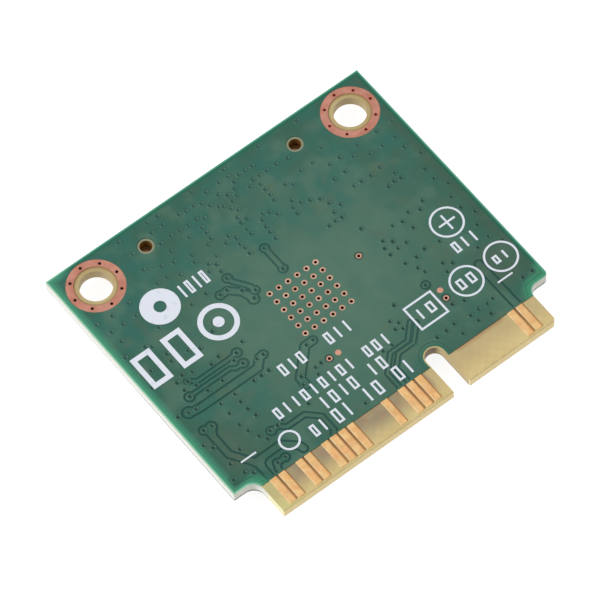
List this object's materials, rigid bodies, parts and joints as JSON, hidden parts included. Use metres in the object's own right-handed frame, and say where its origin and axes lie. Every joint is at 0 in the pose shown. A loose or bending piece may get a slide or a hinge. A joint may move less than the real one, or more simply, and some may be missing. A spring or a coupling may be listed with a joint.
{
  "type": "laptop wifi card",
  "caption": "Half-length radio card for a laptop slot: a green circuit board with a keyed edge connector, ringed mounting holes and a screened component side.",
  "frame": {"origin": "under the middle of the board's outline, on the outer face of the screening can's lid, which the card lies on", "axes": "+X along the row of contacts as seen from the bare back, +Y from the contacts towards the mounting holes, +Z out of the bare back"},
  "size_m": [0.0296, 0.0266, 0.0024],
  "materials": {
    "laminate": "routed glass-fibre laminate, satin",
    "copper": "bare copper, satin",
    "mask": "green solder mask, semi-gloss",
    "gold": "gold plating, satin",
    "print": "white print",
    "tin": "tinned, satin",
    "nickel_silver": "bright sheet metal",
    "resin": "moulded resin",
    "chip": "black moulding compound",
    "pad": "soft silicone",
    "ceramic": "fired ceramic, matt",
    "ferrite": "ferrite, matt"
  },
  "bodies": {
    "root": {"laminate": "laminate", "rear_copper": "copper", "rear_mask": "mask", "rear_contacts": "gold", "rear_print": "print", "heat_vias": "copper", "ring_vias": "copper", "test_vias": "copper", "front_mask": "mask", "front_contacts": "gold", "front_rings": "copper", "front_lands": "tin", "shield_fence": "nickel_silver", "shield_lid": "nickel_silver", "receptacle_bases": "resin", "receptacle_shells": "gold", "receptacle_pins": "gold", "radio_chip": "chip", "radio_chip_lands": "tin", "heat_pad": "pad", "amplifier_chips": "chip", "band_filters": "ceramic", "crystal_base": "ceramic", "crystal_can": "nickel_silver", "memory_chip": "chip", "memory_leads": "tin", "regulator_chip": "chip", "inductor_bodies": "ferrite", "inductor_ends": "tin", "capacitor_bodies": "ceramic", "capacitor_ends": "tin", "resistor_bodies": "chip", "resistor_ends": "tin"}
  },
  "joints": []
}
